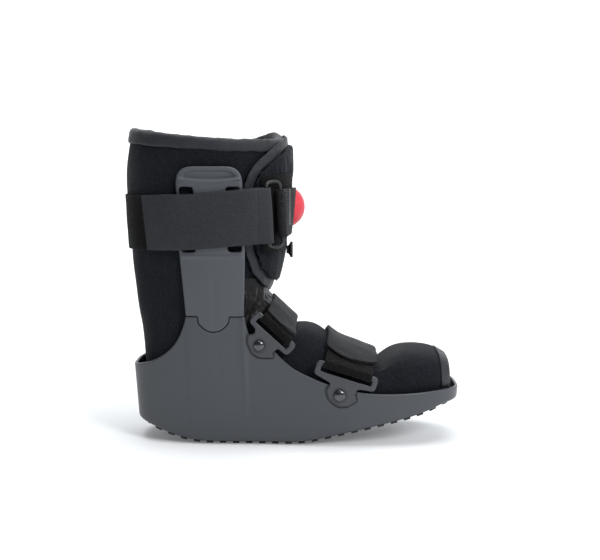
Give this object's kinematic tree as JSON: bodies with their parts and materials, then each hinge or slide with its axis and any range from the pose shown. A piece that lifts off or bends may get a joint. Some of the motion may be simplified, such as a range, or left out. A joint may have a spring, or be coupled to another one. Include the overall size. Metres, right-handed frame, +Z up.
{
  "type": "medical walking boot",
  "caption": "Short walking boot with a rocker sole, rigid foot shell and side uprights round a padded liner, closed by hook-and-loop straps and inflated with a bulb.",
  "frame": {"origin": "on the floor under the middle of the sole's flat, in the boot's middle plane", "axes": "+X to the toe, +Y across to the far side (the calf strap's ring and cut end are on -Y), +Z up the leg"},
  "size_m": [0.3084, 0.1433, 0.2855],
  "materials": {
    "sole_rubber": "matt black rubber",
    "shell_plastic": "satin dark grey moulding",
    "strut_plastic": "satin grey moulding, slightly lighter than the shell",
    "bracket_plastic": "smooth dark grey moulding",
    "rivet_metal": "bright nickel",
    "ring_plastic": "smooth black",
    "liner_fabric": "napped near-black loop fabric on foam",
    "strap_fabric": "smooth dark grey strap",
    "loop_fabric": "fuzzy black loop fabric",
    "binding_fabric": "soft grey edge binding",
    "nylon_fabric": "thin shiny black nylon",
    "webbing_fabric": "dark woven webbing",
    "bulb_rubber": "matt red rubber"
  },
  "bodies": {
    "root": {"outsole": "sole_rubber", "shell": "shell_plastic", "strut_far": "strut_plastic", "strut_near": "strut_plastic", "instep_bracket_far": "bracket_plastic", "instep_bracket_near": "bracket_plastic", "instep_rivet_far": "rivet_metal", "instep_rivet_near": "rivet_metal", "instep_band": "loop_fabric", "instep_cover": "strap_fabric", "forefoot_bracket_far": "bracket_plastic", "forefoot_bracket_near": "bracket_plastic", "forefoot_rivet_far": "rivet_metal", "forefoot_rivet_near": "rivet_metal", "forefoot_band": "loop_fabric", "forefoot_cover": "strap_fabric", "liner": "liner_fabric", "top_binding": "binding_fabric", "toe_binding": "binding_fabric", "ankle_tongue": "nylon_fabric", "shin_flap": "liner_fabric", "flap_binding": "binding_fabric", "strap_backing": "loop_fabric", "calf_ring": "ring_plastic", "ring_webbing": "webbing_fabric", "calf_strap": "strap_fabric", "pump_bulb": "bulb_rubber", "release_valve": "ring_plastic"}
  },
  "joints": []
}
